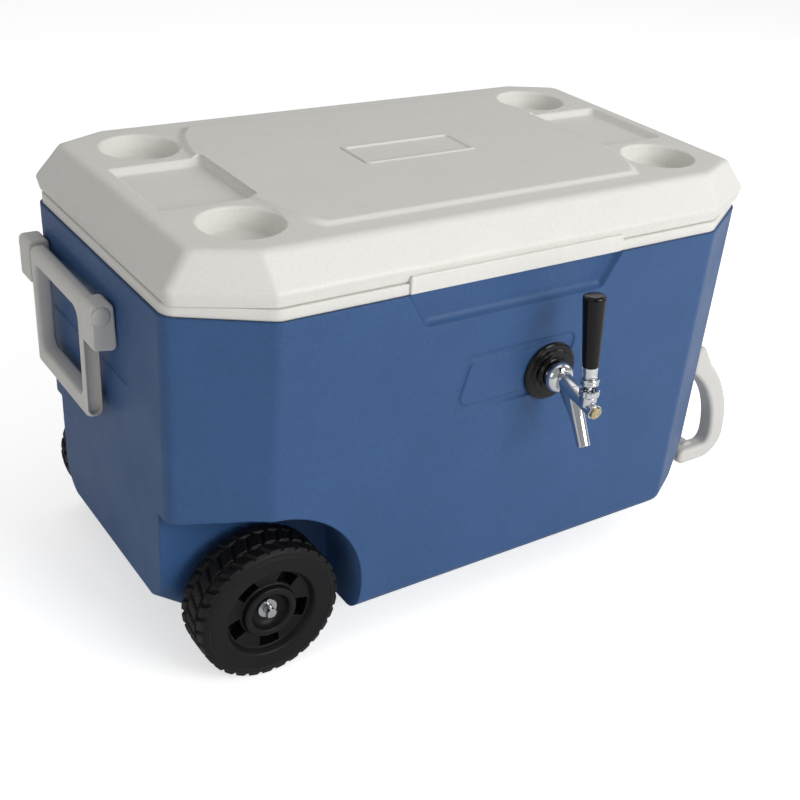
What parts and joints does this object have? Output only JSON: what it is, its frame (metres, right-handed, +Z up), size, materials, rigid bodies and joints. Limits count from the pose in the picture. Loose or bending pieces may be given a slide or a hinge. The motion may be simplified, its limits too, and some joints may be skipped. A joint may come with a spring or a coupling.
{
  "type": "kegerator",
  "caption": "Portable wheeled cooler with a lever-handled beer faucet on its front, a cooling coil inside, a hinged lid with cup holders, a side bail handle and a tow handle.",
  "frame": {"origin": "on the floor, under the middle of the overall length and depth", "axes": "+X along the length from the wheel end to the tow-handle end, +Y from the faucet side to the hinge side, +Z up"},
  "size_m": [0.7644, 0.4827, 0.4455],
  "materials": {
    "blue_shell": "blue blow-moulded polyethylene with a fine grain",
    "white_moulding": "white moulded polyethylene, satin",
    "warm_grey_moulding": "warm light grey injection-moulded plastic, satin",
    "black_moulding": "black moulded plastic, satin",
    "tread_black": "black moulded polyethylene, matte",
    "chrome": "polished chrome plate on brass",
    "zinc_steel": "zinc-plated steel",
    "brass": "machined brass",
    "stainless": "bright-drawn stainless steel tube",
    "foam": "rigid insulating foam",
    "clear_hose": "translucent flexible beer hose"
  },
  "bodies": {
    "tub": {"outer_shell": "blue_shell", "tub_foam": "foam", "inner_liner": "white_moulding", "foot_skid": "black_moulding", "axle": "zinc_steel", "front_axle_retainer": "black_moulding", "rear_axle_retainer": "black_moulding", "front_washer": "zinc_steel", "rear_washer": "zinc_steel", "front_cotter_pin": "zinc_steel", "rear_cotter_pin": "zinc_steel", "left_hinge_body_leaf": "black_moulding", "right_hinge_body_leaf": "black_moulding", "left_hinge_pin": "zinc_steel", "right_hinge_pin": "zinc_steel", "front_bail_bracket": "warm_grey_moulding", "rear_bail_bracket": "warm_grey_moulding", "front_bail_pin": "warm_grey_moulding", "rear_bail_pin": "warm_grey_moulding", "front_tow_bracket": "warm_grey_moulding", "rear_tow_bracket": "warm_grey_moulding", "front_tow_pin": "zinc_steel", "rear_tow_pin": "zinc_steel", "faucet_flange": "black_moulding", "front_shank": "chrome", "coupling_collar": "chrome", "faucet_body": "chrome", "front_cap_screw": "brass", "faucet_bonnet": "chrome", "front_shank_nut": "chrome", "front_tail_stem": "chrome", "front_tail_nut": "chrome", "inlet_flange": "black_moulding", "rear_shank": "chrome", "rear_shank_nut": "chrome", "rear_tail_stem": "chrome", "rear_tail_nut": "chrome", "cooling_coil": "stainless", "inlet_line_fitting": "chrome", "outlet_line_fitting": "chrome", "inlet_beer_line": "clear_hose", "outlet_beer_line": "clear_hose", "drain_spout": "white_moulding", "drain_nut": "white_moulding"},
    "lid": {"lid_shell": "white_moulding", "lid_pan": "white_moulding", "lid_foam": "foam", "left_hinge_lid_leaf": "black_moulding", "right_hinge_lid_leaf": "black_moulding"},
    "bail": {"side_bail_handle": "warm_grey_moulding"},
    "tow": {"tow_handle": "warm_grey_moulding"},
    "front_wheel_body": {"front_wheel": "tread_black"},
    "rear_wheel_body": {"rear_wheel": "tread_black"},
    "lever": {"tap_lever": "chrome", "lever_collar": "chrome", "handle_ferrule": "chrome", "tap_handle": "black_moulding"},
    "valve": {"plunger": "brass"},
    "cap": {"drain_cap": "white_moulding"}
  },
  "joints": [
    {"name": "lid_hinge", "type": "hinge", "parent": "tub", "child": "lid", "pos_m": [-0.025, 0.2369, 0.397], "axis": [-1, 0, 0], "range_deg": [0, 100]},
    {"name": "bail_hinge", "type": "hinge", "parent": "tub", "child": "bail", "pos_m": [-0.37315, 0.08575, 0.3445], "axis": [0, 1, 0], "range_deg": [0, 90]},
    {"name": "tow_hinge", "type": "hinge", "parent": "tub", "child": "tow", "pos_m": [0.31671, 0.033, 0.196], "axis": [0, -1, 0], "range_deg": [0, 100]},
    {"name": "front_wheel_spin", "type": "hinge", "parent": "tub", "child": "front_wheel_body", "pos_m": [-0.2746, -0.129, 0.0733], "axis": [0, 1, 0], "continuous": true},
    {"name": "rear_wheel_spin", "type": "hinge", "parent": "tub", "child": "rear_wheel_body", "pos_m": [-0.2746, 0.195, 0.0733], "axis": [0, 1, 0], "continuous": true},
    {"name": "tap_lever_hinge", "type": "hinge", "parent": "tub", "child": "lever", "pos_m": [0.0253, -0.2253, 0.27299], "axis": [1, 0, 0], "range_deg": [0, 25]},
    {"name": "plunger_slide", "type": "slide", "parent": "tub", "child": "valve", "axis": [0, 0.9728, 0.2317], "range_m": [0, 0.0042]},
    {"name": "drain_cap_turn", "type": "hinge", "parent": "tub", "child": "cap", "pos_m": [0.311, 0.095, 0.122], "axis": [1, 0, 0], "range_deg": [0, 540]}
  ],
  "couplings": [
    {"joint": "plunger_slide", "follows": "tap_lever_hinge", "m_per_rad": 0.009625}
  ]
}
